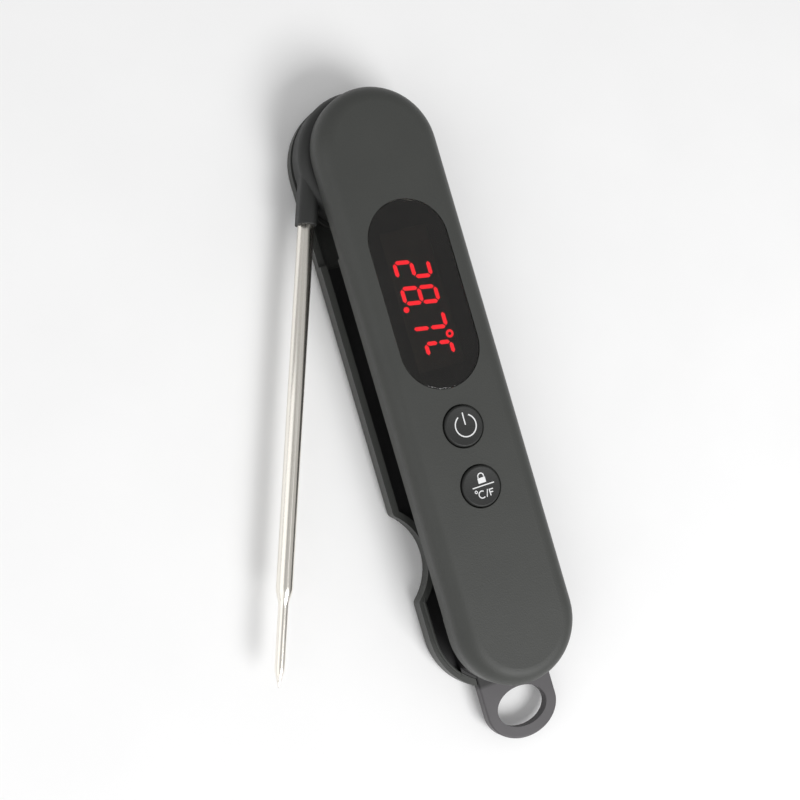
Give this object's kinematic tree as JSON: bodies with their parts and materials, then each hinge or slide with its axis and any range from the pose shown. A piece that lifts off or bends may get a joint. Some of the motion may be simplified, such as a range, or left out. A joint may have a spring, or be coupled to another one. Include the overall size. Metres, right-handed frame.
{
  "type": "folding meat thermometer",
  "caption": "Pocket meat thermometer with a folding stainless probe, a red lit display behind a smoked window, round keys and a hanging loop.",
  "frame": {"origin": "on the flat back face, midway between the centres of the front shell's two round ends", "axes": "+Y to the hinge end, +Z out of the display face, +X across the body, away from the probe slot"},
  "size_m": [0.0743, 0.1657, 0.0197],
  "materials": {
    "soft_touch": "fine-grained soft-touch plastic",
    "frame_plastic": "smooth satin plastic",
    "key_plastic": "satin moulded plastic",
    "smoked_lens": "dark smoked polycarbonate, polished",
    "rubber": "black silicone rubber",
    "led_body": "black display case face",
    "led_red": "lit red light bars",
    "led_unlit": "milky epoxy",
    "brass": "turned brass",
    "laminate": "green solder mask",
    "gloss_black": "moulded epoxy",
    "lead_sheath": "fluoropolymer sheath",
    "cell_can": "plain wrapped steel can",
    "steel": "ground and satin-polished stainless steel",
    "nickel": "nickel-plated magnet",
    "washer_plastic": "low-friction plastic"
  },
  "bodies": {
    "body": {"front_shell": "soft_touch", "back_shell": "soft_touch", "mid_frame": "frame_plastic", "display_lens": "smoked_lens", "lens_gasket": "rubber", "led_case": "led_body", "led_bars_lit": "led_red", "led_bars_unlit": "led_unlit", "led_pins": "brass", "circuit_board": "laminate", "control_chip": "gloss_black", "tact_switches": "gloss_black", "switch_membrane": "rubber", "probe_connector": "led_unlit", "sensor_lead": "lead_sheath", "battery_cell": "cell_can", "battery_spring": "steel", "spring_plate": "steel", "battery_contact": "steel", "battery_door": "soft_touch", "door_gasket": "rubber", "door_screw": "steel", "shell_screws": "steel", "back_magnets": "nickel", "pivot_sleeve": "brass", "friction_washer": "washer_plastic", "pivot_seal": "rubber"},
    "probe": {"probe_hub": "key_plastic", "hub_cover": "key_plastic", "hub_screws": "steel", "probe_tube": "steel", "probe_tip": "steel", "thermistor": "gloss_black", "probe_wire": "lead_sheath"},
    "power_key": {"power_button": "key_plastic"},
    "hold_key": {"hold_button": "key_plastic"}
  },
  "joints": [
    {"name": "probe_hinge", "type": "hinge", "parent": "body", "child": "probe", "pos_m": [-0.0013, 0.0585, 0.008], "axis": [0, 0, -1], "range_deg": [-20.5, 159.5]},
    {"name": "power_press", "type": "slide", "parent": "body", "child": "power_key", "axis": [0, 0, -1], "range_m": [0, 0.0005], "stiffness_N_per_m": 800},
    {"name": "hold_press", "type": "slide", "parent": "body", "child": "hold_key", "axis": [0, 0, -1], "range_m": [0, 0.0005], "stiffness_N_per_m": 800}
  ]
}
